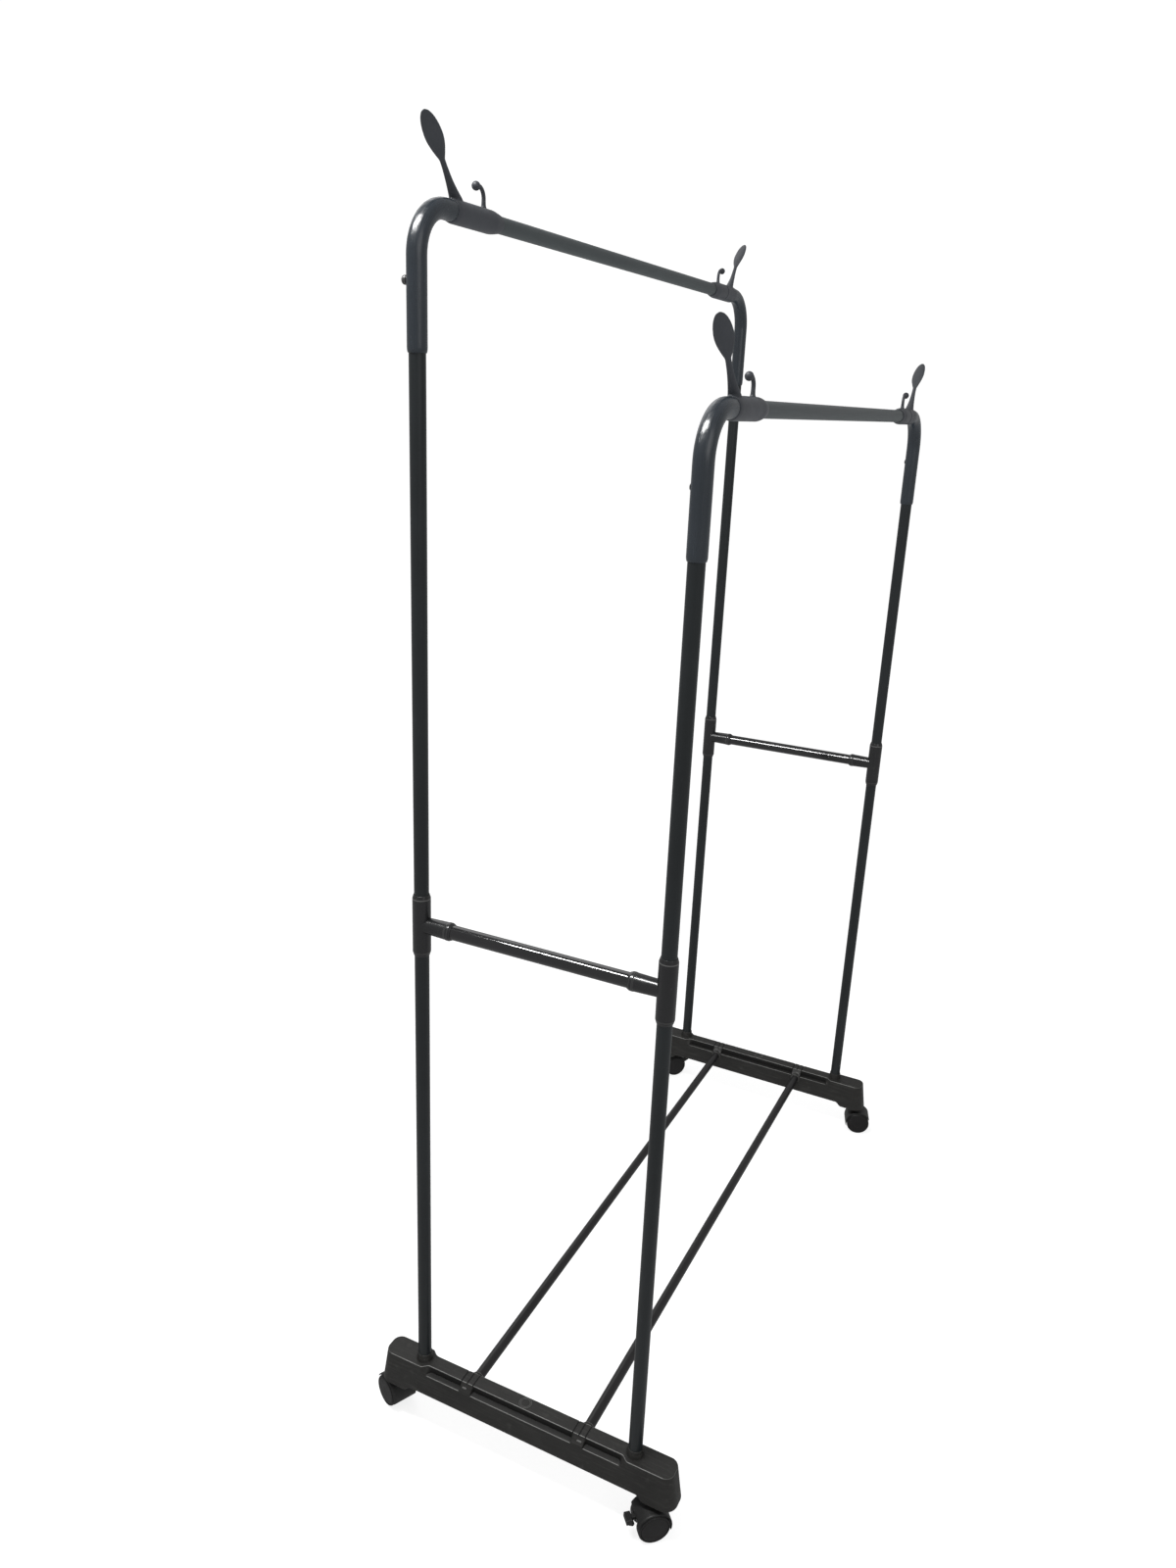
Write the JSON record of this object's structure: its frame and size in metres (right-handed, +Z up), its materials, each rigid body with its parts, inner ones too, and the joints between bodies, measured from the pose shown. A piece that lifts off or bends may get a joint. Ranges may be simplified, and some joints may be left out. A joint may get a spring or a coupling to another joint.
{
  "type": "garment rail",
  "caption": "Free-standing clothes rack with a high and a low hanging rail, coat hooks at the rail ends, floor rods and four swivel casters, two of them braked.",
  "frame": {"origin": "on the floor, under the middle of the rack", "axes": "+X along the rails from the near end frame to the far one, +Y across the bases towards the high rail, +Z up"},
  "size_m": [1.0591, 0.4795, 1.6337],
  "materials": {
    "base_plastic": "fine-grained moulded black plastic",
    "post_tube": "black powder-coated steel tube",
    "gloss_tube": "gloss black painted steel tube",
    "rod_tube": "black painted thin steel tube",
    "corner_tube": "satin grey-black painted steel bend",
    "rail_tube": "satin grey-green painted steel tube",
    "tee_plastic": "moulded black plastic",
    "hook_plastic": "moulded grey-black plastic",
    "screw_black": "blackened steel screw",
    "bare_steel": "plated steel pin",
    "caster_plastic": "moulded black nylon",
    "wheel_plastic": "moulded black nylon wheel"
  },
  "bodies": {
    "frame": {"base_near": "base_plastic", "base_far": "base_plastic", "base_cap_near": "base_plastic", "base_cap_far": "base_plastic", "lower_post_near_left": "post_tube", "lower_post_near_right": "post_tube", "lower_post_far_left": "post_tube", "lower_post_far_right": "post_tube", "upper_post_near_left": "post_tube", "upper_post_near_right": "post_tube", "upper_post_far_left": "post_tube", "upper_post_far_right": "post_tube", "tee_near_left": "tee_plastic", "tee_near_right": "tee_plastic", "tee_far_left": "tee_plastic", "tee_far_right": "tee_plastic", "crossbar_near": "gloss_tube", "crossbar_far": "gloss_tube", "floor_rod_left": "rod_tube", "floor_rod_right": "rod_tube", "caster_stem_near_left": "bare_steel", "caster_stem_near_right": "bare_steel", "caster_stem_far_left": "bare_steel", "caster_stem_far_right": "bare_steel"},
    "high_rail_set": {"elbow_near_left": "corner_tube", "elbow_far_left": "corner_tube", "rail_high": "rail_tube", "hook_sleeve_near_left": "hook_plastic", "hook_sleeve_far_left": "hook_plastic"},
    "screw_near_left": {"lock_screw_near_left": "screw_black"},
    "screw_far_left": {"lock_screw_far_left": "screw_black"},
    "low_rail_set": {"elbow_near_right": "corner_tube", "elbow_far_right": "corner_tube", "rail_low": "rail_tube", "hook_sleeve_near_right": "hook_plastic", "hook_sleeve_far_right": "hook_plastic"},
    "screw_near_right": {"lock_screw_near_right": "screw_black"},
    "screw_far_right": {"lock_screw_far_right": "screw_black"},
    "caster_near_left": {"caster_hood_near_left": "caster_plastic", "caster_axle_near_left": "bare_steel"},
    "wheel_body_a_near_left": {"wheel_a_near_left": "wheel_plastic"},
    "wheel_body_b_near_left": {"wheel_b_near_left": "wheel_plastic"},
    "caster_near_right": {"caster_hood_near_right": "caster_plastic", "caster_axle_near_right": "bare_steel"},
    "wheel_body_a_near_right": {"wheel_a_near_right": "wheel_plastic"},
    "wheel_body_b_near_right": {"wheel_b_near_right": "wheel_plastic"},
    "brake_near_right": {"brake_lever_near_right": "caster_plastic"},
    "caster_far_left": {"caster_hood_far_left": "caster_plastic", "caster_axle_far_left": "bare_steel"},
    "wheel_body_a_far_left": {"wheel_a_far_left": "wheel_plastic"},
    "wheel_body_b_far_left": {"wheel_b_far_left": "wheel_plastic"},
    "brake_far_left": {"brake_lever_far_left": "caster_plastic"},
    "caster_far_right": {"caster_hood_far_right": "caster_plastic", "caster_axle_far_right": "bare_steel"},
    "wheel_body_a_far_right": {"wheel_a_far_right": "wheel_plastic"},
    "wheel_body_b_far_right": {"wheel_b_far_right": "wheel_plastic"}
  },
  "joints": [
    {"name": "high_rail_lift", "type": "slide", "parent": "frame", "child": "high_rail_set", "axis": [0, 0, 1], "range_m": [0, 0.05]},
    {"name": "lock_screw_turn_near_left", "type": "hinge", "parent": "high_rail_set", "child": "screw_near_left", "pos_m": [-0.49, 0.16, 1.478], "axis": [0, 1, 0], "range_deg": [0, 360]},
    {"name": "lock_screw_turn_far_left", "type": "hinge", "parent": "high_rail_set", "child": "screw_far_left", "pos_m": [0.49, 0.16, 1.478], "axis": [0, 1, 0], "range_deg": [0, 360]},
    {"name": "low_rail_lift", "type": "slide", "parent": "frame", "child": "low_rail_set", "axis": [0, 0, 1], "range_m": [0, 0.05]},
    {"name": "lock_screw_turn_near_right", "type": "hinge", "parent": "low_rail_set", "child": "screw_near_right", "pos_m": [-0.49, -0.16, 1.296], "axis": [0, 1, 0], "range_deg": [0, 360]},
    {"name": "lock_screw_turn_far_right", "type": "hinge", "parent": "low_rail_set", "child": "screw_far_right", "pos_m": [0.49, -0.16, 1.296], "axis": [0, 1, 0], "range_deg": [0, 360]},
    {"name": "caster_swivel_near_left", "type": "hinge", "parent": "frame", "child": "caster_near_left", "pos_m": [-0.49, 0.2005, 0.05], "axis": [0, 0, 1], "continuous": true},
    {"name": "wheel_a_spin_near_left", "type": "hinge", "parent": "caster_near_left", "child": "wheel_body_a_near_left", "pos_m": [-0.48408, 0.21319, 0.0215], "axis": [-0.9063, 0.4226, 0], "continuous": true},
    {"name": "wheel_b_spin_near_left", "type": "hinge", "parent": "caster_near_left", "child": "wheel_body_b_near_left", "pos_m": [-0.48408, 0.21319, 0.0215], "axis": [-0.9063, 0.4226, 0], "continuous": true},
    {"name": "caster_swivel_near_right", "type": "hinge", "parent": "frame", "child": "caster_near_right", "pos_m": [-0.49, -0.2005, 0.05], "axis": [0, 0, 1], "continuous": true},
    {"name": "wheel_a_spin_near_right", "type": "hinge", "parent": "caster_near_right", "child": "wheel_body_a_near_right", "pos_m": [-0.49937, -0.1901, 0.0215], "axis": [-0.7431, -0.6691, 0], "continuous": true},
    {"name": "wheel_b_spin_near_right", "type": "hinge", "parent": "caster_near_right", "child": "wheel_body_b_near_right", "pos_m": [-0.49937, -0.1901, 0.0215], "axis": [-0.7431, -0.6691, 0], "continuous": true},
    {"name": "brake_press_near_right", "type": "hinge", "parent": "caster_near_right", "child": "brake_near_right", "pos_m": [-0.50874, -0.17969, 0.0295], "axis": [-0.7431, -0.6691, 0], "range_deg": [0, 10]},
    {"name": "caster_swivel_far_left", "type": "hinge", "parent": "frame", "child": "caster_far_left", "pos_m": [0.49, 0.2005, 0.05], "axis": [0, 0, 1], "continuous": true},
    {"name": "wheel_a_spin_far_left", "type": "hinge", "parent": "caster_far_left", "child": "wheel_body_a_far_left", "pos_m": [0.5004, 0.19113, 0.0215], "axis": [0.6691, 0.7431, 0], "continuous": true},
    {"name": "wheel_b_spin_far_left", "type": "hinge", "parent": "caster_far_left", "child": "wheel_body_b_far_left", "pos_m": [0.5004, 0.19113, 0.0215], "axis": [0.6691, 0.7431, 0], "continuous": true},
    {"name": "brake_press_far_left", "type": "hinge", "parent": "caster_far_left", "child": "brake_far_left", "pos_m": [0.51081, 0.18176, 0.0295], "axis": [0.6691, 0.7431, 0], "range_deg": [0, 10]},
    {"name": "caster_swivel_far_right", "type": "hinge", "parent": "frame", "child": "caster_far_right", "pos_m": [0.49, -0.2005, 0.05], "axis": [0, 0, 1], "continuous": true},
    {"name": "wheel_a_spin_far_right", "type": "hinge", "parent": "caster_far_right", "child": "wheel_body_a_far_right", "pos_m": [0.49433, -0.21382, 0.0215], "axis": [0.9511, 0.309, 0], "continuous": true},
    {"name": "wheel_b_spin_far_right", "type": "hinge", "parent": "caster_far_right", "child": "wheel_body_b_far_right", "pos_m": [0.49433, -0.21382, 0.0215], "axis": [0.9511, 0.309, 0], "continuous": true}
  ]
}
